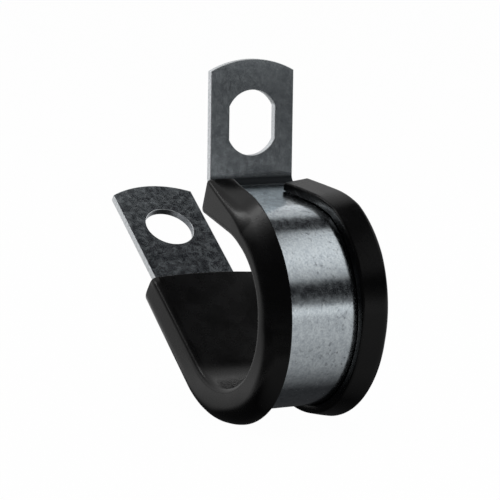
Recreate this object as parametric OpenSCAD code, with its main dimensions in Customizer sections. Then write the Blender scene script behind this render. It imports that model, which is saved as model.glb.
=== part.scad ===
// Rubber-lined band clamp: a steel strip bent into an open loop, with a channel of rubber pressed over the loop.
// The origin is the centre of the gripped cable or pipe. +Y runs along the cable, +Z up the upper tab.

/* [Band] */
// Width of the steel strip
band_width = 12.7; // [9:0.1:20]
// Thickness of the steel strip
band_thickness = 1; // [0.6:0.05:1.6]
// Inside radius of the bend between the arm and the upper tab
bend_radius = 1.2; // [0.6:0.1:3]

/* [Loop] */
// Diameter of the cable or pipe that the lined loop grips
loop_bore = 21.3; // [16:0.1:36]
// Fall of the arm from the upper tab towards the loop, in degrees
arm_slope = 11; // [4:1:22]
// Lean of the open leg away from upright, in degrees
leg_lean = 53; // [40:1:68]
// Distance from the loop's centre back to the front face of the upper tab
tab_setback = 6.6; // [5:0.1:12]

/* [Tabs] */
// Height of the slot's centre above the end of the bend
slot_rise = 7.3; // [6:0.1:12]
// Width of the slot between its flats
slot_width = 7; // [5:0.1:9]
// Length of the slot from end to end
slot_length = 8.9; // [7.5:0.1:12]
// Radius of the slot's two rounded ends
slot_end_radius = 3.9; // [3.6:0.1:4.4]
// Diameter of the round hole in the lower tab
hole_diameter = 7.2; // [4:0.1:9]
// Distance from the start of the straight leg to the round hole's centre
hole_reach = 28.5; // [24:0.1:40]
// Distance from each hole's centre to the tip of its tab
tip_reach = 8.6; // [6.5:0.05:12]
// How far the curved end of a tab stands out past its corners
tip_crown = 1.55; // [0.6:0.1:4]

/* [Liner] */
// Thickness of rubber between the cable and the strip
liner_base = 2.25; // [1.2:0.05:4]
// Thickness of rubber beside each edge of the strip
side_wall = 2.05; // [1.2:0.05:4]
// Thickness of the lips at the outer corners of the side walls
lip_thickness = 1.75; // [0.8:0.05:3]
// Thickness of the lips at their free edges
lip_tip_thickness = 1.1; // [0.5:0.05:2]
// How far each lip reaches in over the strip
lip_overlap = 1.05; // [0.5:0.05:3]
// Rounding of the liner's outer corners
corner_radius = 1.3; // [0.3:0.1:1.4]
// Rounding of the lips' free edges
tip_radius = 0.3; // [0.1:0.1:0.8]
// Rounding of the edges of the bore
bore_edge_radius = 0.6; // [0.1:0.1:1]
// Room between the strip and the channel that holds it
channel_clearance = 0.1; // [0.05:0.05:0.3]
// Bare steel between the liner's upper end and the bend
arm_end_gap = 1.1; // [0.2:0.1:3]
// Length of lined leg past the round of the loop
leg_liner_length = 16.4; // [8:0.1:20]

/* [Hidden] */
$fn = 120;

// Radii from the loop's centre outwards
bore_radius = loop_bore / 2;
band_inner_radius = bore_radius + liner_base + channel_clearance;
band_outer_radius = band_inner_radius + band_thickness;
lip_inner_radius = band_outer_radius + channel_clearance;
lip_outer_radius = lip_inner_radius + lip_thickness;
lip_tip_radius = lip_inner_radius + lip_tip_thickness;

// Directions, measured in the loop's own plane, of the points where the arm and the leg leave the round
arm_angle = 90 - arm_slope;
leg_angle = leg_lean - 180;
loop_sweep = arm_angle - leg_angle;

// Where a round meets a straight run, one reaches this far into the other and is thinner by this much on each face
splice_depth = 0.12;
splice_ease = 0.015;

// Centre of the bend: one bend radius clear of the arm's outer face and of the upper tab's front face
bend_x = bend_radius - tab_setback;
bend_z = (band_outer_radius + bend_radius - bend_x * sin(arm_slope)) / cos(arm_slope);
arm_length = bend_z * sin(arm_slope) - bend_x * cos(arm_slope);

// Tabs: a curved end as one arc through both corners and the tip
upper_tab_length = slot_rise + tip_reach;
leg_length = hole_reach + tip_reach;
tip_arc_radius = (pow(band_width / 2, 2) + pow(tip_crown, 2)) / (2 * tip_crown);

// Liner widths, from the strip outwards
channel_half = band_width / 2 + channel_clearance;
liner_half = channel_half + side_wall;
lip_edge = band_width / 2 - lip_overlap;
lip_width = liner_half - lip_edge;
lip_tip_round = min(tip_radius, lip_tip_thickness / 2, lip_width / 4);
lip_corner_round = min(corner_radius, lip_width / 2.2);
arm_liner_length = arm_length - arm_end_gap;

// The loop is drawn flat, with the cable along its third axis, and then stood up on edge
module stand_up() rotate([90, 0, 0]) children();

// Where the arm leaves the round: first axis away from the loop's centre, second towards the upper tab
module along_arm() rotate(arm_angle) children();

// Where the leg leaves the round: first axis away from the loop's centre, second towards the lower tab
module along_leg() rotate(leg_angle) mirror([0, 1, 0]) children();

// A section carried straight on for a length
module straight_run(length) rotate([-90, 0, 0]) linear_extrude(length) children();

// A section carried round an axis; each end of the round reaches a lap further
module round_run(start, sweep, lap) rotate(start - lap) rotate_extrude(angle = sweep + 2 * lap) children();

// Outline of a strip that ends in the tabs' shallow curve
module tab_outline(length) {
    translate([-band_width / 2, 0]) square([band_width, length - tip_crown]);
    intersection() {
        translate([-band_width / 2, length - 2 * tip_crown]) square([band_width, 3 * tip_crown]);
        translate([0, length - tip_arc_radius]) circle(tip_arc_radius);
    }
}

// Slot with straight flanks and ends rounder than its width, standing along the tab
module slot_outline() {
    end_offset = slot_length / 2 - slot_end_radius;
    intersection() {
        square([slot_width, 2 * slot_length], center = true);
        union() {
            translate([0, end_offset]) circle(slot_end_radius);
            translate([0, -end_offset]) circle(slot_end_radius);
            square([2 * slot_end_radius, 2 * abs(end_offset)], center = true);
        }
    }
}

// Section of the strip, standing across the loop at a given radius, eased where a round is spliced into flats
module strip_section(radius, ease = 0) {
    translate([radius + ease, -band_width / 2]) square([band_thickness - 2 * ease, band_width]);
}

// A round of the strip, spliced into the flat at each of its ends
module strip_round(radius, start, sweep) {
    round_run(start, sweep, splice_depth / radius * 180 / PI) strip_section(radius, splice_ease);
}

// Upper tab, from the end of the bend to the tip
module upper_tab() {
    translate([-tab_setback - band_thickness, bend_z]) rotate([0, 90, 0])
        linear_extrude(band_thickness) difference() {
            tab_outline(upper_tab_length);
            translate([0, slot_rise]) slot_outline();
        }
}

// The leg, running straight on into the lower tab with its round hole
module leg_and_lower_tab() {
    along_leg() translate([band_inner_radius, 0]) rotate([0, 90, 0]) difference() {
        linear_extrude(band_thickness) tab_outline(leg_length);
        translate([0, hole_reach, -band_thickness])
            cylinder(h = 3 * band_thickness, d = hole_diameter);
    }
}

module steel_band() {
    color("silver") stand_up() union() {
        strip_round(band_inner_radius, leg_angle, loop_sweep);
        along_arm() straight_run(arm_length) strip_section(band_inner_radius);
        translate([bend_x, bend_z]) strip_round(bend_radius, 180, arm_angle);
        upper_tab();
        leg_and_lower_tab();
    }
}

// What a rounding takes off a corner at the origin, with the body between two edges that run off at these angles
module corner_waste(radius, first, second) {
    half = (second - first) / 2;
    touch = radius / tan(half);
    difference() {
        polygon([
            touch * [cos(first), sin(first)],
            touch * [cos(second), sin(second)],
            -radius * [cos(first + half), sin(first + half)]
        ]);
        rotate(first + half) translate([radius / sin(half), 0]) circle(radius);
    }
}

// One half of the liner's section: half the base, a side wall and the lip that folds back over the strip.
// The ease comes off every face of the straight ends, where they are spliced into the round.
module liner_half_section(ease) {
    inner = bore_radius + ease;
    outer = lip_outer_radius - ease;
    tip_top = lip_tip_radius - ease;
    side = liner_half - ease;
    edge = lip_edge + ease;
    lean = atan2(side - edge, outer - tip_top);
    floor_top = bore_radius + liner_base - ease;
    difference() {
        union() {
            translate([inner, 0]) square([floor_top - inner, side]);
            polygon([[inner, edge], [tip_top, edge], [outer, side], [inner, side]]);
        }
        translate([floor_top, -1])
            square([lip_inner_radius + ease - floor_top, channel_half + ease + 1]);
        translate([outer, side]) corner_waste(lip_corner_round, 180, 180 + lean);
        translate([tip_top, edge]) corner_waste(lip_tip_round, lean, 180);
        translate([inner, side]) corner_waste(bore_edge_radius, 270, 360);
    }
}

module liner_section(ease = 0) {
    liner_half_section(ease);
    mirror([0, 1]) liner_half_section(ease);
}

// A straight end of the liner, starting inside the round
module liner_end(length) {
    translate([0, -splice_depth]) straight_run(length + splice_depth) liner_section(splice_ease);
}

module rubber_liner() {
    color("black") stand_up() union() {
        round_run(leg_angle, loop_sweep, 0) liner_section();
        along_arm() liner_end(arm_liner_length);
        along_leg() liner_end(leg_liner_length);
    }
}

steel_band();
rubber_liner();
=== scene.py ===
"""Looks of a rubber-lined band clamp: a bent strip of zinc-plated steel in a channel of black rubber.

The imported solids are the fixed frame. Both pieces are drawn again from the same main sizes and take
their place: the strip with its sheared edges and punched holes, and the rubber with its cut ends, its
unequal lips and the front corner that was rolled over when the clamp was bent.
"""

import logging
import math
from dataclasses import astuple, dataclass
from enum import Enum
from typing import Any, Sequence

import bmesh
import bpy
from mathutils import Matrix, Vector


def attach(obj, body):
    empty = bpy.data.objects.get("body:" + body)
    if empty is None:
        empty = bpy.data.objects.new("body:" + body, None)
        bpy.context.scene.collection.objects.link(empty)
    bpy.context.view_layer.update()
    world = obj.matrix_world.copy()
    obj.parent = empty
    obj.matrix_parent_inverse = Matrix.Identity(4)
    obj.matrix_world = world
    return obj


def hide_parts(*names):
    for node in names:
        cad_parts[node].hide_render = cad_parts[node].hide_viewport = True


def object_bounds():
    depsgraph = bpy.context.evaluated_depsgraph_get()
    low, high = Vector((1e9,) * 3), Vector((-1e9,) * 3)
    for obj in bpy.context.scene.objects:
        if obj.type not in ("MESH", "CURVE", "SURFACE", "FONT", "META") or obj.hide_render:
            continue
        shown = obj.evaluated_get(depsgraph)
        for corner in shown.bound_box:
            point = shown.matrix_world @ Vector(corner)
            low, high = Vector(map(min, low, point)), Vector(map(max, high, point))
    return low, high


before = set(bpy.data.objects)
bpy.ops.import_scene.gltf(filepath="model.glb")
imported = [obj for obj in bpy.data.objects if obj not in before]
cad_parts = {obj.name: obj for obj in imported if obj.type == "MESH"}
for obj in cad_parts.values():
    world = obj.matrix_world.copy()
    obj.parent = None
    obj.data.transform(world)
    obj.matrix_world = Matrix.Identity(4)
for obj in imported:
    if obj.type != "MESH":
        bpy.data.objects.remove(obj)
CAD_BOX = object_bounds()

LOG = logging.getLogger("band_clamp")
MM = 0.001
BODY = "root"
# Edges that turn by more than this are rounded
SHARP_ANGLE = math.radians(45)
# How much more large faces count in the shading than small ones: 50 is neutral and 100 the most
LARGE_FACE_WEIGHT = 100

Colour = tuple[float, float, float, float]
Range = tuple[float, float]
Section = list[tuple[float, float]]
Links = dict[str | int, bpy.types.NodeSocket]


class Slot(Enum):
    """Material slots of the part's record."""

    STEEL = "steel"
    RUBBER = "rubber"


class Skin(Enum):
    """Finishes of the strip, as the numbers of its mesh's material slots."""

    ROLLED = 0
    SHEARED = 1
    PUNCHED = 2
    SLOTTED = 3


def linear(hex_colour: str) -> Colour:
    """Turns an sRGB hex colour into linear RGBA.

    Args:
        hex_colour: Colour such as "#c8ccd0".

    Returns:
        Linear red, green and blue, and an alpha of 1.
    """
    channels = [int(hex_colour[i : i + 2], 16) / 255 for i in (1, 3, 5)]
    red, green, blue = (c / 12.92 if c <= 0.04045 else ((c + 0.055) / 1.055) ** 2.4 for c in channels)
    return red, green, blue, 1.0


def grey(value: float) -> Colour:
    """Linear grey of one value, with an alpha of 1."""
    return value, value, value, 1.0


def per_mm(pitch: float) -> float:
    """Texture scale, in object space in metres, for a pattern that repeats every so many millimetres."""
    return 1 / (pitch * MM)


def new_material(name: str) -> bpy.types.Material:
    """Starts a material with nodes.

    Args:
        name: Name of the material.

    Returns:
        The material, with Blender's default shader.
    """
    made = bpy.data.materials.new(name)
    made.use_nodes = True
    return made


def add_node(tree: bpy.types.NodeTree, kind: str, settings: dict[str | int, Any] | None = None,
             links: Links | None = None, **attributes: Any) -> bpy.types.Node:
    """Adds one shader node.

    Args:
        tree: Node tree that the node goes into.
        kind: Blender's name of the node type.
        settings: Values of the node's input sockets, by socket name or number.
        links: Sockets to link into the node's inputs, by socket name or number.
        attributes: Other properties of the node.

    Returns:
        The new node.
    """
    node = tree.nodes.new(kind)
    for name, value in attributes.items():
        setattr(node, name, value)
    for key, value in (settings or {}).items():
        node.inputs[key].default_value = value
    for key, socket in (links or {}).items():
        tree.links.new(socket, node.inputs[key])
    return node


def set_ramp(node: bpy.types.Node, places: Range, colours: Sequence[str]) -> None:
    """Sets the two stops of a colour ramp.

    Args:
        node: Colour ramp node, with its two default stops.
        places: Places of the stops on the ramp, in order.
        colours: Colours of the stops, as sRGB hex.
    """
    for element, place, colour in zip(node.color_ramp.elements, places, colours):
        element.position = place
        element.color = linear(colour)


@dataclass(frozen=True)
class ZincPlate:
    """Bright zinc plate on cold-rolled steel strip.

    The plating is a thin blue-white metal skin that follows the rolled strip below it, so the eye gets soft
    mirror bands, a mottled skin, fine lines along the strip and clusters of dark specks. A line all across
    the bend is rougher and is darkened with painted shade. The bend's sizes are in millimetres.
    """

    bend_corner: Vector
    name: str = "zinc_plated_rolled_steel"
    colour: str = "#d0d8dc"
    mottle_colour: str = "#b0b8be"
    speck_colour: str = "#666b70"
    # Painted shade in the bend's crease
    bend_shade_colour: str = "#34373a"
    roughness: Range = (0.15, 0.235)
    mottle_mm: float = 0.9
    cluster_mm: float = 4.0
    # A pixel of the photograph's view is 0.13 mm wide, and real specks, crystals and rolling lines are
    # mostly finer, so the next three are drawn coarser, to show
    speck_mm: float = 0.55
    grain_mm: float = 0.3
    line_mm: float = 0.35
    line_length_mm: float = 9.0
    noise_detail: float = 5.0
    noise_roughness: float = 0.62
    line_detail: float = 2.0
    line_roughness: float = 0.5
    grain_share: float = 0.55
    skin_range: Range = (0.4, 0.58)
    cluster_range: Range = (0.42, 0.62)
    speck_range: Range = (0.56, 0.68)
    speck_cover: Range = (0.25, 0.85)
    gloss_range: Range = (0.35, 0.65)
    line_height: float = 0.2
    bump_mm: float = 0.0015
    bend_rise: float = 0.15
    bend_reach: float = 0.6
    bend_fade: float = 0.75
    bend_roughness: float = 0.6

    def material(self) -> bpy.types.Material:
        """Builds the material.

        Returns:
            The zinc plate, with its mottle, specks, rolling lines, grain, and a rougher line of painted
            shade in the bend.
        """
        made = new_material(self.name)
        tree = made.node_tree
        shader = tree.nodes["Principled BSDF"]
        shader.inputs["Metallic"].default_value = 1.0
        place = add_node(tree, "ShaderNodeTexCoord").outputs["Object"]
        noise = {"Detail": self.noise_detail, "Roughness": self.noise_roughness}
        mottle, clusters, specks, grain = (
            add_node(tree, "ShaderNodeTexNoise", {"Scale": per_mm(size), **noise}, {"Vector": place})
            for size in (self.mottle_mm, self.cluster_mm, self.speck_mm, self.grain_mm))
        # Rolling lines run along the strip, so they are drawn out in X and Z and lie close together in Y
        drawn = per_mm(self.line_length_mm)
        stretch = add_node(tree, "ShaderNodeMapping", {"Scale": (drawn, per_mm(self.line_mm), drawn)},
                           {"Vector": place})
        lines = add_node(tree, "ShaderNodeTexNoise",
                         {"Scale": 1.0, "Detail": self.line_detail, "Roughness": self.line_roughness},
                         {"Vector": stretch.outputs["Vector"]})
        clouded = add_node(tree, "ShaderNodeMix", {0: self.grain_share},
                           {2: mottle.outputs["Fac"], 3: grain.outputs["Fac"]})
        skin = add_node(tree, "ShaderNodeValToRGB", links={"Fac": clouded.outputs[0]})
        set_ramp(skin, self.skin_range, (self.mottle_colour, self.colour))
        # Specks come in clusters, where the skin is thin
        thin = add_node(tree, "ShaderNodeMapRange",
                        {"From Min": self.cluster_range[0], "From Max": self.cluster_range[1],
                         "To Min": self.speck_cover[0], "To Max": self.speck_cover[1]},
                        {"Value": clusters.outputs["Fac"]})
        speck = add_node(tree, "ShaderNodeMapRange",
                         {"From Min": self.speck_range[0], "From Max": self.speck_range[1]},
                         {"Value": specks.outputs["Fac"], "To Max": thin.outputs["Result"]})
        specked = add_node(tree, "ShaderNodeMix", {7: linear(self.speck_colour)},
                           {0: speck.outputs["Result"], 6: skin.outputs["Color"]}, data_type="RGBA")
        # Painted shade in a line all across the strip at the bend's corner, where the skin is also rougher
        corner = (self.bend_corner.x * MM, 0.0, (self.bend_corner.y + self.bend_rise) * MM)
        flat = add_node(tree, "ShaderNodeVectorMath", {1: (1.0, 0.0, 1.0)}, {0: place},
                        operation="MULTIPLY")
        away = add_node(tree, "ShaderNodeVectorMath", {1: corner}, {0: flat.outputs["Vector"]},
                        operation="DISTANCE")
        bend_shade_and_dulling = add_node(tree, "ShaderNodeMapRange",
                           {"From Min": self.bend_reach * MM,
                            "From Max": (self.bend_reach + self.bend_fade) * MM,
                            "To Min": 1.0, "To Max": 0.0},
                           {"Value": away.outputs["Value"]})
        bent = add_node(tree, "ShaderNodeMix", {7: linear(self.bend_shade_colour)},
                        {0: bend_shade_and_dulling.outputs["Result"], 6: specked.outputs[2]}, data_type="RGBA")
        tree.links.new(bent.outputs[2], shader.inputs["Base Color"])
        rough = add_node(tree, "ShaderNodeMapRange",
                         {"From Min": self.gloss_range[0], "From Max": self.gloss_range[1],
                          "To Min": self.roughness[0], "To Max": self.roughness[1]},
                         {"Value": mottle.outputs["Fac"]})
        dulled = add_node(tree, "ShaderNodeMix", {3: self.bend_roughness},
                          {0: bend_shade_and_dulling.outputs["Result"], 2: rough.outputs["Result"]})
        tree.links.new(dulled.outputs[0], shader.inputs["Roughness"])
        height = add_node(tree, "ShaderNodeMath", {1: self.line_height},
                          {0: lines.outputs["Fac"], 2: grain.outputs["Fac"]}, operation="MULTIPLY_ADD")
        bump = add_node(tree, "ShaderNodeBump", {"Strength": 1.0, "Distance": self.bump_mm * MM},
                        {"Height": height.outputs["Value"]})
        tree.links.new(bump.outputs["Normal"], shader.inputs["Normal"])
        return made


@dataclass(frozen=True)
class ShearedEdge:
    """Zinc plate over an edge that was sheared or punched.

    The torn steel under the plating is rough, so the eye gets a light, matt rim with short marks.
    """

    name: str = "zinc_plated_sheared_edge"
    colour: str = "#e2e5e7"
    mark_colour: str = "#c4c8cb"
    roughness: float = 0.46
    # Real tears are finer than a pixel, and are drawn coarser to show
    mark_mm: float = 0.25
    mark_detail: float = 3.0
    mark_roughness: float = 0.6
    mark_range: Range = (0.35, 0.6)
    bump_mm: float = 0.012

    def material(self) -> bpy.types.Material:
        """Builds the material.

        Returns:
            The matt zinc of the edges.
        """
        made = new_material(self.name)
        tree = made.node_tree
        shader = tree.nodes["Principled BSDF"]
        shader.inputs["Metallic"].default_value = 1.0
        shader.inputs["Roughness"].default_value = self.roughness
        place = add_node(tree, "ShaderNodeTexCoord").outputs["Object"]
        marks = add_node(tree, "ShaderNodeTexNoise",
                         {"Scale": per_mm(self.mark_mm), "Detail": self.mark_detail,
                          "Roughness": self.mark_roughness},
                         {"Vector": place})
        skin = add_node(tree, "ShaderNodeValToRGB", links={"Fac": marks.outputs["Fac"]})
        set_ramp(skin, self.mark_range, (self.mark_colour, self.colour))
        tree.links.new(skin.outputs["Color"], shader.inputs["Base Color"])
        bump = add_node(tree, "ShaderNodeBump", {"Strength": 1.0, "Distance": self.bump_mm * MM},
                        {"Height": marks.outputs["Fac"]})
        tree.links.new(bump.outputs["Normal"], shader.inputs["Normal"])
        return made


@dataclass(frozen=True)
class ChannelRubber:
    """Extruded black EPDM rubber.

    Carbon black makes it near black all through, and the die leaves a satin skin that only shines at a low
    angle.
    """

    name: str = "extruded_black_rubber"
    colour: str = "#040404"
    bloom_colour: str = "#080809"
    roughness: Range = (0.22, 0.31)
    specular: float = 0.19
    bloom_mm: float = 4.0
    bloom_detail: float = 4.0
    bloom_roughness: float = 0.6
    bloom_range: Range = (0.35, 0.75)
    gloss_range: Range = (0.3, 0.7)
    # The grain that the die leaves is finer than a pixel, and is drawn coarser to show
    grain_mm: float = 0.35
    grain_detail: float = 2.0
    grain_roughness: float = 0.5
    bump_mm: float = 0.006

    def material(self) -> bpy.types.Material:
        """Builds the material.

        Returns:
            The rubber, with a faint bloom and a fine skin.
        """
        made = new_material(self.name)
        tree = made.node_tree
        shader = tree.nodes["Principled BSDF"]
        shader.inputs["Specular IOR Level"].default_value = self.specular
        place = add_node(tree, "ShaderNodeTexCoord").outputs["Object"]
        bloom = add_node(tree, "ShaderNodeTexNoise",
                         {"Scale": per_mm(self.bloom_mm), "Detail": self.bloom_detail,
                          "Roughness": self.bloom_roughness},
                         {"Vector": place})
        grain = add_node(tree, "ShaderNodeTexNoise",
                         {"Scale": per_mm(self.grain_mm), "Detail": self.grain_detail,
                          "Roughness": self.grain_roughness},
                         {"Vector": place})
        skin = add_node(tree, "ShaderNodeValToRGB", links={"Fac": bloom.outputs["Fac"]})
        set_ramp(skin, self.bloom_range, (self.colour, self.bloom_colour))
        tree.links.new(skin.outputs["Color"], shader.inputs["Base Color"])
        rough = add_node(tree, "ShaderNodeMapRange",
                         {"From Min": self.gloss_range[0], "From Max": self.gloss_range[1],
                          "To Min": self.roughness[0], "To Max": self.roughness[1]},
                         {"Value": bloom.outputs["Fac"]})
        tree.links.new(rough.outputs["Result"], shader.inputs["Roughness"])
        bump = add_node(tree, "ShaderNodeBump", {"Strength": 1.0, "Distance": self.bump_mm * MM},
                        {"Height": grain.outputs["Fac"]})
        tree.links.new(bump.outputs["Normal"], shader.inputs["Normal"])
        return made


@dataclass(frozen=True)
class Station:
    """One place along the strip, in millimetres.

    A point at some depth is the origin plus the depth times the normal.
    """

    origin: Vector
    normal: Vector

    def point(self, depth: float, across: float) -> Vector:
        """Point of a section at this place, in metres.

        Args:
            depth: Distance out from the loop's centre line, in millimetres.
            across: Distance across the strip, in millimetres.

        Returns:
            The point in the part's own frame.
        """
        flat = self.origin + depth * self.normal
        return Vector((flat.x, across, flat.y)) * MM


@dataclass(frozen=True)
class ClampLine:
    """The line that strip and rubber follow in the loop's plane, in millimetres and degrees."""

    band_inner: float = 13.0
    band_outer: float = 14.0
    arm_slope: float = 11.0
    leg_lean: float = 53.0
    tab_setback: float = 6.6
    bend_radius: float = 1.2
    turn_step: float = 1.5
    bend_step: float = 6.0

    @property
    def arm_angle(self) -> float:
        """Direction, in degrees, in which the arm leaves the round."""
        return 90 - self.arm_slope

    @property
    def leg_angle(self) -> float:
        """Direction, in degrees, in which the leg leaves the round."""
        return self.leg_lean - 180

    @property
    def bend_centre(self) -> Vector:
        """Centre of the bend between the arm and the upper tab.

        Returns:
            The centre in the loop's plane.
        """
        slope = math.radians(self.arm_slope)
        x = self.bend_radius - self.tab_setback
        return Vector((x, (self.band_outer + self.bend_radius - x * math.sin(slope)) / math.cos(slope)))

    @property
    def bend_corner(self) -> Vector:
        """Point where the arm's outer face and the upper tab's front face would meet without the bend."""
        out = self.outward(self.arm_angle)
        return Vector((-self.tab_setback, (self.band_outer + self.tab_setback * out.x) / out.y))

    @property
    def arm_length(self) -> float:
        """Length of the straight arm between the round and the bend.

        Returns:
            The length in millimetres.
        """
        slope = math.radians(self.arm_slope)
        centre = self.bend_centre
        return centre.y * math.sin(slope) - centre.x * math.cos(slope)

    @staticmethod
    def outward(angle: float) -> Vector:
        """Unit vector at an angle in degrees."""
        return Vector((math.cos(math.radians(angle)), math.sin(math.radians(angle))))

    def leg(self, distance: float) -> Station:
        """Place on the straight leg, so far past the round."""
        out = self.outward(self.leg_angle)
        return Station(Vector((out.y, -out.x)) * distance, out)

    def arm(self, distance: float) -> Station:
        """Place on the straight arm, so far past the round."""
        out = self.outward(self.arm_angle)
        return Station(Vector((-out.y, out.x)) * distance, out)

    def loop(self) -> list[Station]:
        """Follows the round of the loop.

        Returns:
            Places round the loop, from the leg to the arm.
        """
        sweep = self.arm_angle - self.leg_angle
        count = round(sweep / self.turn_step)
        angles = [self.leg_angle + sweep * i / count for i in range(count + 1)]
        return [Station(Vector((0, 0)), self.outward(angle)) for angle in angles]

    def bend(self) -> list[Station]:
        """Follows the bend.

        Returns:
            Places round the bend, from the arm to the upper tab.
        """
        count = round(self.arm_angle / self.bend_step)
        normals = [self.outward(self.arm_angle * (1 - i / count)) for i in range(count + 1)]
        reach = self.band_outer + self.bend_radius
        return [Station(self.bend_centre - reach * normal, normal) for normal in normals]

    def upper_tab(self, rise: float) -> Station:
        """Place on the upper tab, so far above the bend."""
        foot = self.bend_centre - Vector((self.band_outer + self.bend_radius, 0))
        return Station(foot + Vector((0, rise)), Vector((1, 0)))


def new_piece(name: str, mesh: bmesh.types.BMesh) -> bpy.types.Object:
    """Turns a bmesh into an object of the scene.

    Args:
        name: Name of the object and its mesh.
        mesh: Finished bmesh, which is freed.

    Returns:
        The new object.
    """
    bmesh.ops.recalc_face_normals(mesh, faces=mesh.faces)
    data = bpy.data.meshes.new(name)
    mesh.to_mesh(data)
    mesh.free()
    piece = bpy.data.objects.new(name, data)
    bpy.context.scene.collection.objects.link(piece)
    return piece


def sweep(rings: Sequence[Sequence[Vector]]) -> bmesh.types.BMesh:
    """Joins rings of points into one closed skin.

    Args:
        rings: Rings with the same number of points each, in order along the sweep.

    Returns:
        The skin, with a face over each end.
    """
    mesh = bmesh.new()
    rows = [[mesh.verts.new(point) for point in ring] for ring in rings]
    count = len(rows[0])
    for first, second in zip(rows, rows[1:]):
        for i in range(count):
            j = (i + 1) % count
            mesh.faces.new((first[i], first[j], second[j], second[i]))
    mesh.faces.new(rows[0])
    mesh.faces.new(reversed(rows[-1]))
    return mesh


def apply_modifiers(piece: bpy.types.Object) -> None:
    """Turns a piece's modifiers into its mesh.

    Args:
        piece: Piece with its modifiers set.
    """
    graph = bpy.context.evaluated_depsgraph_get()
    made = bpy.data.meshes.new_from_object(piece.evaluated_get(graph))
    piece.modifiers.clear()
    piece.data = made


def soften(piece: bpy.types.Object, radius: float, segments: int, slot: int = 0,
           finer: dict[int, float] | None = None) -> None:
    """Rounds the sharp edges of a piece and shades it smooth.

    Args:
        piece: Piece to soften.
        radius: Width of the rounding, in millimetres.
        segments: Faces across the rounding.
        slot: Material slot of the rounding's faces.
        finer: Shares of the radius for the edges of faces with some material slots.
    """
    mesh = bmesh.new()
    mesh.from_mesh(piece.data)
    weight = mesh.edges.layers.float.new("bevel_weight_edge")
    for face in mesh.faces:
        face.smooth = True
    for edge in mesh.edges:
        if edge.calc_face_angle(0.0) > SHARP_ANGLE:
            edge[weight] = min((finer or {}).get(face.material_index, 1.0) for face in edge.link_faces)
    mesh.to_mesh(piece.data)
    mesh.free()
    bevel = piece.modifiers.new("edges", "BEVEL")
    bevel.material = slot
    bevel.width = radius * MM
    bevel.segments = segments
    bevel.limit_method = "WEIGHT"
    even = piece.modifiers.new("even", "WEIGHTED_NORMAL")
    even.weight = LARGE_FACE_WEIGHT
    apply_modifiers(piece)


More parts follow.
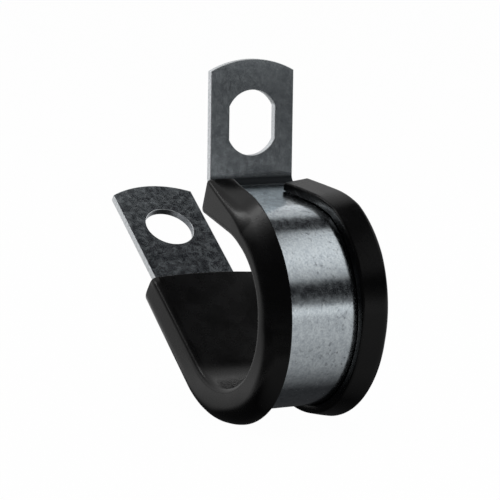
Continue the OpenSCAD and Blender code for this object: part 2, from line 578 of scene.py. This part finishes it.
@dataclass
class BentStrip:
    """The steel band: one strip, from the tip of the lower tab round the loop to the tip of the upper tab.

    Sizes are in millimetres.
    """

    line: ClampLine
    finish: ZincPlate
    edge_finish: ShearedEdge
    hole_finish: ShearedEdge
    slot_finish: ShearedEdge
    name: str = "zinc_strip"
    node: str = "steel_band"
    width: float = 12.7
    slot_rise: float = 7.3
    slot_width: float = 7.0
    slot_length: float = 8.9
    slot_end_radius: float = 3.9
    hole_diameter: float = 7.2
    hole_reach: float = 28.5
    tip_reach: float = 8.6
    tip_crown: float = 1.55
    blank_spare: float = 1.0
    punch_spare: float = 1.0
    edge_radius: float = 0.08
    edge_steps: int = 4
    hole_edge_share: float = 0.75
    arc_steps: int = 24
    tip_steps: int = 18

    def ring(self, place: Station) -> list[Vector]:
        """Draws the strip's section at one place.

        Args:
            place: Place along the strip.

        Returns:
            The section's four corners.
        """
        half = self.width / 2
        inner, outer = self.line.band_inner, self.line.band_outer
        corners = [(inner, -half), (outer, -half), (outer, half), (inner, half)]
        return [place.point(depth, across) for depth, across in corners]

    def rings(self) -> list[list[Vector]]:
        """Draws the bent blank, whose square ends reach past the tabs' curved tips.

        Returns:
            Sections along the blank.
        """
        spare = self.tip_reach + self.blank_spare
        lower = self.line.leg(self.hole_reach + spare)
        upper = self.line.upper_tab(self.slot_rise + spare)
        return [self.ring(place) for place in [lower, *self.line.loop(), *self.line.bend(), upper]]

    def tip_outline(self) -> Section:
        """Draws what is sheared off past a tab's curved tip.

        Returns:
            Outline about the centre of that tab's hole: along the tab and across it.
        """
        half = self.width / 2
        radius = (half**2 + self.tip_crown**2) / (2 * self.tip_crown)
        centre = self.tip_reach - radius
        reach = math.asin((half + self.blank_spare) / radius)
        turns = [reach * (2 * i / self.tip_steps - 1) for i in range(self.tip_steps + 1)]
        curve = [(centre + radius * math.cos(turn), radius * math.sin(turn)) for turn in turns]
        far = self.tip_reach + 2 * self.blank_spare
        return curve + [(far, half + self.blank_spare), (far, -half - self.blank_spare)]

    def slot_outline(self) -> Section:
        """Draws the slot, with its flat flanks and its round ends.

        Returns:
            Outline about the slot's centre: along the tab and across it.
        """
        half = self.slot_width / 2
        radius = self.slot_end_radius
        offset = self.slot_length / 2 - radius
        reach = math.asin(half / radius)
        turns = [reach * (2 * i / self.arc_steps - 1) for i in range(self.arc_steps + 1)]
        end = [(offset + radius * math.cos(turn), radius * math.sin(turn)) for turn in turns]
        return end + [(-along, -across) for along, across in end]

    def hole_outline(self) -> Section:
        """Draws the round hole.

        Returns:
            Outline about the hole's centre: along the leg and across it.
        """
        radius = self.hole_diameter / 2
        turns = [math.pi * i / self.arc_steps for i in range(2 * self.arc_steps)]
        return [(radius * math.cos(turn), radius * math.sin(turn)) for turn in turns]

    def punch(self, piece: bpy.types.Object, outline: Section, places: list[Station], skin: Skin) -> None:
        """Cuts a shape out of the strip.

        Args:
            piece: The strip.
            outline: Outline of the cut: along the strip and across it.
            places: Place on the strip of each point of the outline.
            skin: Finish of the cut faces.
        """
        depths = (self.line.band_inner - self.punch_spare, self.line.band_outer + self.punch_spare)
        rings = [[place.point(depth, across) for place, (_, across) in zip(places, outline)]
                 for depth in depths]
        tool = new_piece("punch", sweep(rings))
        for face in tool.data.polygons:
            face.material_index = skin.value
        cut = piece.modifiers.new("punch", "BOOLEAN")
        cut.operation = "DIFFERENCE"
        cut.solver = "EXACT"
        cut.material_mode = "INDEX"
        cut.object = tool
        apply_modifiers(piece)
        bpy.data.objects.remove(tool)

    def build(self) -> bpy.types.Object:
        """Builds the strip with its slot, its hole, its sheared edges and its zinc.

        Returns:
            The finished strip.
        """
        piece = new_piece(self.name, sweep(self.rings()))
        for finish in (self.finish, self.edge_finish, self.hole_finish, self.slot_finish):
            piece.data.materials.append(finish.material())
        # The faces that look along Y are the sheared sides
        for face in piece.data.polygons:
            if abs(face.normal.y) > 0.5:
                face.material_index = Skin.SHEARED.value
        for outline, skin in ((self.slot_outline(), Skin.SLOTTED), (self.tip_outline(), Skin.SHEARED)):
            places = [self.line.upper_tab(self.slot_rise + along) for along, _ in outline]
            self.punch(piece, outline, places, skin)
        for outline, skin in ((self.hole_outline(), Skin.PUNCHED), (self.tip_outline(), Skin.SHEARED)):
            places = [self.line.leg(self.hole_reach + along) for along, _ in outline]
            self.punch(piece, outline, places, skin)
        finer = {skin.value: self.hole_edge_share for skin in (Skin.PUNCHED, Skin.SLOTTED)}
        soften(piece, self.edge_radius, self.edge_steps, Skin.SHEARED.value, finer)
        return piece

    def dress(self, piece: bpy.types.Object) -> None:
        """Seats the strip on the frame.

        Args:
            piece: The finished strip.
        """
        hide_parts(self.node)
        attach(piece, BODY)


@dataclass(frozen=True)
class LipShape:
    """Sizes of one side of the channel, in millimetres.

    The overlap is the lip's reach over the strip. The tip and the shoulder are its thicknesses at its free
    edge and over the side wall, and the wall is the side wall's thickness below the shoulder. The shoulder's
    rounding takes up the lengths top and side of the two faces beside it. The heel is how far the edge of
    the bore stands in. With a shoulder below zero, the lip and most of the side wall become one slope.
    """

    overlap: float
    tip: float
    shoulder: float
    wall: float
    top: float
    side: float
    heel: float

    def towards(self, other: "LipShape", share: float) -> "LipShape":
        """Lip between this one, at a share of 0, and another, at a share of 1."""
        pairs = zip(astuple(self), astuple(other))
        return LipShape(*(mine + (theirs - mine) * share for mine, theirs in pairs))


@dataclass(frozen=True)
class LipRun:
    """One side of the channel: lips at shares of its length, from the leg's end to the arm's end."""

    stops: tuple[tuple[float, LipShape], ...]

    def at(self, share: float) -> LipShape:
        """Finds the lip at one place.

        Args:
            share: Place, as a share of the channel's length.

        Returns:
            The lip there, between its two neighbours.
        """
        for (start, first), (end, second) in zip(self.stops, self.stops[1:]):
            if share < end:
                return first.towards(second, (share - start) / (end - start))
        return self.stops[-1][1]


FRONT_LEG = LipShape(overlap=0.55, tip=1.7, shoulder=1.6, wall=2.05, top=2.3, side=2.5, heel=0.1)
FRONT_FOOT = LipShape(overlap=0.55, tip=1.9, shoulder=2.0, wall=2.05, top=2.3, side=2.5, heel=0.1)
FRONT_LOOP = LipShape(overlap=0.3, tip=1.55, shoulder=-2.0, wall=2.05, top=1.2, side=0.6, heel=0.6)
FRONT_CREST = LipShape(overlap=0.5, tip=1.65, shoulder=-1.8, wall=2.05, top=2.2, side=0.45, heel=0.6)
FRONT_END = LipShape(overlap=1.5, tip=2.0, shoulder=1.55, wall=1.7, top=0.6, side=0.6, heel=-0.1)
BACK_LEG = LipShape(overlap=1.7, tip=1.1, shoulder=1.75, wall=2.05, top=1.3, side=1.3, heel=-0.1)
BACK_FOOT = LipShape(overlap=1.6, tip=1.1, shoulder=1.95, wall=2.05, top=1.1, side=1.1, heel=-0.1)
BACK_LOOP = LipShape(overlap=1.8, tip=1.4, shoulder=1.95, wall=2.05, top=0.6, side=0.6, heel=-0.2)
BACK_END = LipShape(overlap=3.6, tip=1.1, shoulder=1.25, wall=1.0, top=0.8, side=0.8, heel=-0.2)

FRONT_RUN = LipRun(((0.0, FRONT_LEG), (0.24, FRONT_FOOT), (0.36, FRONT_LEG), (0.48, FRONT_LEG),
                    (0.63, FRONT_LOOP), (0.78, FRONT_LOOP), (0.84, FRONT_CREST), (1.0, FRONT_END)))
BACK_RUN = LipRun(((0.0, BACK_LEG), (0.25, BACK_LEG), (0.36, BACK_FOOT), (0.5, BACK_LEG),
                   (0.6, BACK_LEG), (0.74, BACK_LOOP), (0.84, BACK_LOOP), (1.0, BACK_END)))


@dataclass
class RubberChannel:
    """The liner: one rubber channel with a base under the strip, two side walls and a lip over each edge.

    The pull round the loop rolls the channel a little to the front, so the front corner is drawn down and
    round and the back one stands up. The front corner is square again at the free end on the arm. Sizes are
    in millimetres.
    """

    line: ClampLine
    finish: ChannelRubber
    name: str = "rubber_channel"
    node: str = "rubber_liner"
    front: LipRun = FRONT_RUN
    back: LipRun = BACK_RUN
    strip_width: float = 12.7
    bore_radius: float = 10.65
    base: float = 2.25
    side_wall: float = 2.05
    lip_reach: float = 2.0
    tip_round: float = 0.35
    bore_edge_round: float = 1.1
    end_crown: float = 0.35
    crown_length: float = 8.0
    mitre: float = 1.8
    mitre_length: float = 4.5
    clearance: float = 0.1
    arm_end_gap: float = 1.1
    leg_length: float = 16.4
    corner_steps: int = 10
    bore_steps: int = 6
    straight_steps: int = 12
    cut_edge: float = 0.1
    cut_steps: int = 2

    def rounded(self, before: Vector, corner: Vector, after: Vector,
                lengths: tuple[float, float]) -> Section:
        """Rounds one corner of the section.

        Args:
            before: Point that the outline comes from.
            corner: The sharp corner.
            after: Point that the outline goes on to.
            lengths: Lengths that the rounding takes up, before the corner and after it.

        Returns:
            Points of the rounding, each as depth and place across.
        """
        start = corner + (before - corner).normalized() * lengths[0]
        end = corner + (after - corner).normalized() * lengths[1]
        shares = [i / self.corner_steps for i in range(self.corner_steps + 1)]
        return [tuple(start.lerp(corner, share).lerp(corner.lerp(end, share), share)) for share in shares]

    def half_section(self, lip: LipShape) -> Section:
        """Half of the section on the +Y side, from the base's top round the lip to the bore.

        Args:
            lip: Sizes of that side.

        Returns:
            Points of the half, each as depth and place across.
        """
        floor = self.bore_radius + self.base
        under_lip = self.line.band_outer + self.clearance
        channel = self.strip_width / 2 + self.clearance
        edge = self.strip_width / 2 - lip.overlap
        foot = Vector((under_lip, edge))
        tip = Vector((under_lip + lip.tip, edge))
        shoulder = Vector((under_lip + lip.shoulder, channel + lip.wall))
        heel = Vector((self.bore_radius - lip.heel, channel + self.side_wall))
        middle = Vector((heel.x, 0))
        points = [(floor, channel), (under_lip, channel), tuple(foot)]
        points += self.rounded(foot, tip, shoulder, (self.tip_round, self.tip_round))
        points += self.rounded(tip, shoulder, heel, (lip.top, lip.side))
        points += self.rounded(shoulder, heel, middle, (self.bore_edge_round, self.bore_edge_round))
        return points

    def section(self, share: float, crown: float) -> Section:
        """Whole section, as one closed outline.

        Args:
            share: Place of the section, as a share of the channel's length.
            crown: How far the middle of the bore stands in, in millimetres.

        Returns:
            Points of the outline, each as depth and place across.
        """
        back = self.half_section(self.back.at(share))
        front = [(depth, -across) for depth, across in reversed(self.half_section(self.front.at(share)))]
        start, end = Vector(back[-1]), Vector(front[0])
        # The crown is a shallow arch: nothing at both edges of the bore and its full height in the middle
        parts = [i / self.bore_steps for i in range(1, self.bore_steps)]
        bore = [tuple(start.lerp(end, t) - Vector((4 * crown * t * (1 - t), 0))) for t in parts]
        return back + bore + front

    def places(self) -> list[tuple[float, Station]]:
        """Follows the channel along the leg, round the loop and along the arm.

        Returns:
            Places along the channel, with their distances in millimetres from its cut end on the leg.
        """
        line = self.line
        middle = (line.band_inner + line.band_outer) / 2
        round_length = math.radians(line.arm_angle - line.leg_angle) * middle
        arm_length = line.arm_length - self.arm_end_gap
        shares = [i / self.straight_steps for i in range(self.straight_steps)]
        loop = line.loop()
        arm_start = self.leg_length + round_length
        found = [(self.leg_length * share, line.leg(self.leg_length * (1 - share))) for share in shares]
        for i, place in enumerate(loop):
            found.append((self.leg_length + round_length * i / (len(loop) - 1), place))
        for share in reversed(shares):
            along = arm_length * (1 - share)
            found.append((arm_start + along, line.arm(along)))
        return found

    def lip_share(self, depth: float, across: float) -> float:
        """Finds how far a point of the section is in over the strip on a lip.

        Args:
            depth: Distance of the point out from the loop's centre line.
            across: Distance of the point across the strip.

        Returns:
            A share, from 0 at the side wall to 1.
        """
        channel = self.strip_width / 2 + self.clearance
        reach = (channel + self.side_wall - abs(across)) / (self.side_wall + self.lip_reach)
        return min(1.0, max(0.0, reach)) if depth > self.line.band_outer else 0.0

    def rings(self) -> list[list[Vector]]:
        """Draws the channel from its cut end on the leg, which bulges a little, to its cut end on the arm.

        The stretched lips draw back from the end on the arm, so that their ends run aslant.

        Returns:
            Sections along the channel.
        """
        places = self.places()
        length = places[-1][0]
        back = self.line.arm(-1).origin * MM
        aslant = Vector((back.x, 0, back.y))
        rings = []
        for distance, place in places:
            crown = self.end_crown * max(0.0, 1 - distance / self.crown_length)
            drawn = self.mitre * max(0.0, 1 - (length - distance) / self.mitre_length)
            spots = self.section(distance / length, crown)
            rings.append([place.point(*spot) + aslant * (drawn * self.lip_share(*spot)) for spot in spots])
        return rings

    def build(self) -> bpy.types.Object:
        """Builds the channel with its cut ends.

        Returns:
            The finished liner.
        """
        piece = new_piece(self.name, sweep(self.rings()))
        soften(piece, self.cut_edge, self.cut_steps)
        return piece

    def dress(self, piece: bpy.types.Object) -> None:
        """Gives the liner its rubber and seats it on the frame.

        Args:
            piece: The finished liner.
        """
        piece.data.materials.append(self.finish.material())
        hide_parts(self.node)
        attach(piece, BODY)


@dataclass(frozen=True)
class PhotoCamera:
    """Camera at the photograph's place, in degrees and millimetres."""

    azimuth: float = 60.748
    elevation: float = 7.943
    roll: float = 0.81
    distance: float = 333.239
    aside: float = -3.193
    above: float = 7.195
    lens: float = 178.513
    near: float = 10.0
    far: float = 100000.0

    def build(self) -> bpy.types.Object:
        """Makes the scene's camera.

        Returns:
            The camera object.
        """
        turn, rise, roll = (math.radians(angle) for angle in (self.azimuth, self.elevation, self.roll))
        back = Vector((math.sin(turn) * math.cos(rise), -math.cos(turn) * math.cos(rise), math.sin(rise)))
        level = Vector((math.cos(turn), math.sin(turn), 0))
        upright = back.cross(level)
        right = math.cos(roll) * level + math.sin(roll) * upright
        up = -math.sin(roll) * level + math.cos(roll) * upright
        data = bpy.data.cameras.new("photo_camera")
        data.lens = self.lens
        data.clip_start = self.near * MM
        data.clip_end = self.far * MM
        camera = bpy.data.objects.new("photo_camera", data)
        camera.matrix_world = Matrix((right, up, back)).transposed().to_4x4()
        camera.location = (self.distance * back + self.aside * right + self.above * up) * MM
        bpy.context.scene.collection.objects.link(camera)
        bpy.context.scene.camera = camera
        return camera


@dataclass(frozen=True)
class SoftLamp:
    """Square soft lamp that faces the object.

    Its place and its sides are in millimetres, and its level is how bright its face is, where 1 is white.
    """

    name: str
    spot: tuple[float, float, float]
    size: float
    level: float

    def build(self) -> bpy.types.Object:
        """Makes the lamp.

        Returns:
            The lamp object.
        """
        data = bpy.data.lights.new(self.name, "AREA")
        data.size = self.size * MM
        data.energy = self.level * math.pi * data.size**2
        made = bpy.data.objects.new(self.name, data)
        made.location = Vector(self.spot) * MM
        made.rotation_mode = "QUATERNION"
        made.rotation_quaternion = (-made.location).to_track_quat("-Z", "Y")
        bpy.context.scene.collection.objects.link(made)
        return made


def background_rays(tree: bpy.types.NodeTree) -> bpy.types.NodeSocket:
    """Adds a mask of the rays that show the background: from the camera, and off or through the object.

    Args:
        tree: Node tree of a material or the world.

    Returns:
        Socket that is 1 for those rays and 0 for the others.
    """
    path = add_node(tree, "ShaderNodeLightPath")
    shiny = add_node(tree, "ShaderNodeMath", {},
                     {0: path.outputs["Is Glossy Ray"], 1: path.outputs["Is Transmission Ray"]},
                     operation="MAXIMUM")
    seen = add_node(tree, "ShaderNodeMath", {},
                    {0: shiny.outputs["Value"], 1: path.outputs["Is Camera Ray"]},
                    operation="MAXIMUM")
    return seen.outputs["Value"]


@dataclass
class Studio:
    """Pale floor, white surroundings, soft lamps and the dark cards that give the zinc its dark bands.

    Sizes, and the corners of the cards below, are in millimetres.
    """

    floor_width: float = 40000.0
    floor_colour: str = "#cccccc"
    ambient: float = 0.35
    camera_white: float = 0.985
    velvet: str = "#202022"
    cloth: str = "#4a4a4c"
    white_board: str = "#ffffff"
    ceiling: float = 200.0
    cloth_lift: float = 0.1
    overhead_lamp: SoftLamp = SoftLamp("overhead_lamp", (0, 0, 500), 500, 2.4)
    high_lamp: SoftLamp = SoftLamp("high_lamp", (-99, -150, 177), 28, 17.0)

    @property
    def floor_cloth(self) -> float:
        """Height of a cloth that lies on the floor."""
        return CAD_BOX[0].z / MM + self.cloth_lift

    def surroundings(self) -> None:
        """White world for the rays that show it, and a softer level for the light that it gives."""
        world = bpy.data.worlds.new("white_room")
        world.use_nodes = True
        bpy.context.scene.world = world
        tree = world.node_tree
        tree.nodes.clear()
        seen = background_rays(tree)
        shown = add_node(tree, "ShaderNodeBackground", {"Color": grey(1), "Strength": 1.0})
        given = add_node(tree, "ShaderNodeBackground", {"Color": grey(1), "Strength": self.ambient})
        mixed = add_node(tree, "ShaderNodeMixShader", {},
                         {0: seen, 1: given.outputs[0], 2: shown.outputs[0]})
        add_node(tree, "ShaderNodeOutputWorld", {}, {"Surface": mixed.outputs[0]})

    def floor_finish(self) -> bpy.types.Material:
        """Pale matt paper sweep, white to the camera and in reflections, with the object's shadow kept.

        Returns:
            The floor's material.
        """
        made = new_material("matt_paper_sweep")
        tree = made.node_tree
        tree.nodes.clear()
        share = add_node(tree, "ShaderNodeMath", {1: self.camera_white}, {0: background_rays(tree)},
                         operation="MULTIPLY")
        paper = add_node(tree, "ShaderNodeBsdfDiffuse", {"Color": linear(self.floor_colour)})
        white = add_node(tree, "ShaderNodeEmission", {"Color": grey(1), "Strength": 1.0})
        mixed = add_node(tree, "ShaderNodeMixShader", {},
                         {0: share.outputs["Value"], 1: paper.outputs[0], 2: white.outputs[0]})
        add_node(tree, "ShaderNodeOutputMaterial", {}, {"Surface": mixed.outputs[0]})
        return made

    def floor(self) -> bpy.types.Object:
        """Floor under the lowest point of the object.

        Returns:
            The floor.
        """
        half = self.floor_width * MM / 2
        corners = ((-half, -half), (half, -half), (half, half), (-half, half))
        mesh = bmesh.new()
        mesh.faces.new([mesh.verts.new((x, y, CAD_BOX[0].z)) for x, y in corners])
        made = new_piece("floor", mesh)
        made.data.materials.append(self.floor_finish())
        return made

    def card(self, name: str, rings: Sequence[tuple[float, Sequence[Vector]]],
             colour: str) -> bpy.types.Object:
        """Card that only shows as a reflection, with an edge that fades out.

        Args:
            name: Name of the card.
            rings: Rings from the middle out: how much of what is behind it each hides, from 0 to 1, and its
                corners.
            colour: Colour of the card, as sRGB hex.

        Returns:
            The card.
        """
        mesh = bmesh.new()
        layer = mesh.verts.layers.float.new("cover")
        rows = []
        for cover, corners in rings:
            rows.append([mesh.verts.new(Vector(corner) * MM) for corner in corners])
            for vert in rows[-1]:
                vert[layer] = cover
        mesh.faces.new(rows[0])
        for inner, outer in zip(rows, rows[1:]):
            for i in range(len(inner)):
                j = (i + 1) % len(inner)
                mesh.faces.new((inner[i], inner[j], outer[j], outer[i]))
        made = new_piece(name, mesh)
        made.data.materials.append(self.card_finish(name, colour))
        made.visible_camera = False
        made.visible_diffuse = False
        made.visible_shadow = False
        made.visible_transmission = False
        return made

    def card_finish(self, name: str, colour: str) -> bpy.types.Material:
        """Cloth or paper on a card, thinner towards its edge.

        Args:
            name: Name of the card.
            colour: Colour of the card, as sRGB hex.

        Returns:
            The card's material.
        """
        made = new_material(name)
        tree = made.node_tree
        tree.nodes.clear()
        cover = add_node(tree, "ShaderNodeAttribute", attribute_name="cover")
        shown = add_node(tree, "ShaderNodeEmission", {"Color": linear(colour), "Strength": 1.0})
        clear = add_node(tree, "ShaderNodeBsdfTransparent")
        mixed = add_node(tree, "ShaderNodeMixShader", {},
                         {0: cover.outputs["Fac"], 1: clear.outputs[0], 2: shown.outputs[0]})
        add_node(tree, "ShaderNodeOutputMaterial", {}, {"Surface": mixed.outputs[0]})
        return made

    @staticmethod
    def upright(turn: float, reach: float, corners: Section) -> list[Vector]:
        """Corners of an upright card.

        Args:
            turn: Direction from the object to the card, in degrees from +X towards +Y.
            reach: Distance from the object to the card.
            corners: Corners on the card: aside, to the left as the object sees it, and height.

        Returns:
            The corners in space.
        """
        along = Vector((math.cos(math.radians(turn)), math.sin(math.radians(turn)), 0))
        aside = Vector((-along.y, along.x, 0))
        return [reach * along + left * aside + Vector((0, 0, height)) for left, height in corners]

    @staticmethod
    def level(height: float, corners: Section) -> list[Vector]:
        """Corners of a card that lies level at a height."""
        return [Vector((x, y, height)) for x, y in corners]

    def ceiling_card(self) -> None:
        """Dark ceiling over the front, with a tongue to the back for the band's upper dark stripe."""
        core = [(-20, -300), (260, -300), (260, 70), (-12, 100), (-16, 160), (-56, 160), (-84, 124),
                (-82, 98), (-70, 84), (-56, 60), (-28, 16)]
        rim = [(-60, -340), (300, -340), (300, 100), (4, 112), (2, 185), (-68, 185), (-100, 132),
               (-98, 100), (-86, 84), (-74, 54), (-54, 10)]
        rings = [(1.0, self.level(self.ceiling, core)), (0.0, self.level(self.ceiling, rim))]
        self.card("ceiling_card", rings, self.velvet)

    def right_cards(self) -> None:
        """Cards to the right: a far one for the band's middle stripe, a near one for the upper tab."""
        turn, far, near = 30, 150, 60
        spread = [(1.0, 45, 40, 62), (0.5, 60, 30, 80), (0.28, 75, 21, 115), (0.0, 95, 13, 160)]
        rings = []
        for cover, half, low, high in spread:
            corners = [(-half, low), (half, low), (half, high), (-half, high)]
            rings.append((cover, self.upright(turn, far, corners)))
        self.card("right_card", rings, self.velvet)
        core = [(-12, 7), (40, 7), (40, 27), (-12, 27)]
        rim = [(-20, 3), (60, 3), (60, 34), (-20, 34)]
        rings = [(0.895, self.upright(turn, near, core)), (0.0, self.upright(turn, near, rim))]
        self.card("low_right_card", rings, self.velvet)

    def floor_shadow_card(self) -> None:
        """Dark card on the floor under and behind the loop and to the right, seen only in reflections by the
        band's lower part; where it is densest, under the loop, it is painted shadow of the object.
        """
        spread = [(0.98, [(-42, -9), (-4, -9), (2, -28), (9, -28), (9, 28), (-42, 28)]),
                  (0.62, [(-46, -11), (-6, -11), (0, -34), (17, -34), (17, 33), (-46, 33)]),
                  (0.44, [(-50, -13), (-8, -13), (-2, -40), (36, -40), (36, 45), (-50, 45)]),
                  (0.36, [(-55, -15), (-10, -15), (-4, -50), (150, -50), (150, 110), (-55, 110)]),
                  (0.0, [(-70, -20), (-16, -20), (-10, -70), (260, -70), (260, 180), (-70, 180)])]
        rings = [(cover, self.level(self.floor_cloth, corners)) for cover, corners in spread]
        self.card("floor_shadow_card", rings, self.velvet)

    def left_veil(self) -> None:
        """Grey cloth on the floor at the left, which the flank of the leg sees."""
        core = [(-130, -80), (-42, -80), (-42, -18), (-130, -18)]
        rim = [(-170, -110), (-24, -110), (-24, -8), (-170, -8)]
        rings = [(0.5, self.level(self.floor_cloth, core)), (0.0, self.level(self.floor_cloth, rim))]
        self.card("left_veil", rings, self.velvet)

    def ceiling_veil(self) -> None:
        """Thin grey cloth high at the back left, which the shoulder of the band sees."""
        height = self.ceiling + 1
        core = [(-170, 95), (-90, 95), (-90, 165), (-170, 165)]
        rim = [(-220, 85), (-70, 85), (-70, 200), (-220, 200)]
        rings = [(0.36, self.level(height, core)), (0.0, self.level(height, rim))]
        self.card("ceiling_veil", rings, self.velvet)

    def back_veil(self) -> None:
        """Grey cloth at the back left, which the free end of the back lip sees."""
        turn, reach = 149, 250
        core = [(-60, 85), (60, 85), (60, 140), (-60, 140)]
        rim = [(-90, 60), (90, 60), (90, 166), (-90, 166)]
        rings = [(0.55, self.upright(turn, reach, core)), (0.0, self.upright(turn, reach, rim))]
        self.card("back_veil", rings, self.velvet)

    def front_cloth(self) -> None:
        """Dark cloth on the floor in front, which the front lip sees."""
        core = [(2, -32), (150, -32), (150, -220), (-40, -220)]
        rim = [(-12, -20), (190, -20), (190, -260), (-80, -260)]
        rings = [(1.0, self.level(self.floor_cloth, core)), (0.0, self.level(self.floor_cloth, rim))]
        self.card("front_cloth", rings, self.cloth)

    def left_board(self) -> None:
        """White board at the front left, which the sheared edges and the rubber's flank see."""
        turn, reach = 209, 200
        corners = [(-130, -15), (130, -15), (130, 70), (-130, 70)]
        self.card("left_board", [(1.0, self.upright(turn, reach, corners))], self.white_board)

    def camera_cards(self) -> None:
        """Dark side of the room behind the camera, which the rubber's lips see, lower at the left."""
        reach, foot, low_rise, high_rise, low_count = 230, -14, 120, 214, 2
        turns = [math.radians(turn) for turn in range(-142, 11, 19)]
        feet = [Vector((reach * math.cos(turn), reach * math.sin(turn), foot)) for turn in turns]
        rises = [low_rise if i < low_count else high_rise for i in range(len(feet))]
        tops = [corner + Vector((0, 0, rise)) for corner, rise in zip(feet, rises)]
        for i in range(len(feet) - 1):
            corners = [feet[i], feet[i + 1], tops[i + 1], tops[i]]
            self.card(f"camera_card_{i + 1}", [(1.0, corners)], self.cloth)

    def build(self) -> None:
        """Sets up floor, surroundings, cards and lamps."""
        self.surroundings()
        self.floor()
        self.ceiling_card()
        self.right_cards()
        self.floor_shadow_card()
        self.left_veil()
        self.ceiling_veil()
        self.back_veil()
        self.front_cloth()
        self.left_board()
        self.camera_cards()
        overhead = self.overhead_lamp.build()
        overhead.visible_glossy = False
        high = self.high_lamp.build()
        high.visible_diffuse = False


def main() -> None:
    """Builds the clamp, its studio and its camera."""
    logging.basicConfig(level=logging.INFO, format="%(name)s: %(message)s")
    bpy.context.scene.view_settings.view_transform = "Standard"
    line = ClampLine()
    # The hole's wall is darker than the other cut faces: painted shade inside the hole
    shaded_hole_wall = ShearedEdge("zinc_punched_wall_painted_shade", colour="#969a9e", mark_colour="#74787c",
                            roughness=0.4)
    slot_wall = ShearedEdge("zinc_plated_slot_wall", colour="#d9dcde", mark_colour="#bfc3c6")
    strip = BentStrip(line, ZincPlate(line.bend_corner), ShearedEdge(), shaded_hole_wall, slot_wall)
    liner = RubberChannel(line, ChannelRubber())
    for part in (strip, liner):
        piece = part.build()
        part.dress(piece)
        LOG.info("%s stands for %s with %d faces", piece.name, part.node, len(piece.data.polygons))
    Studio().build()
    PhotoCamera().build()
    LOG.info("studio and camera are set")


if __name__ == "__main__":
    main()
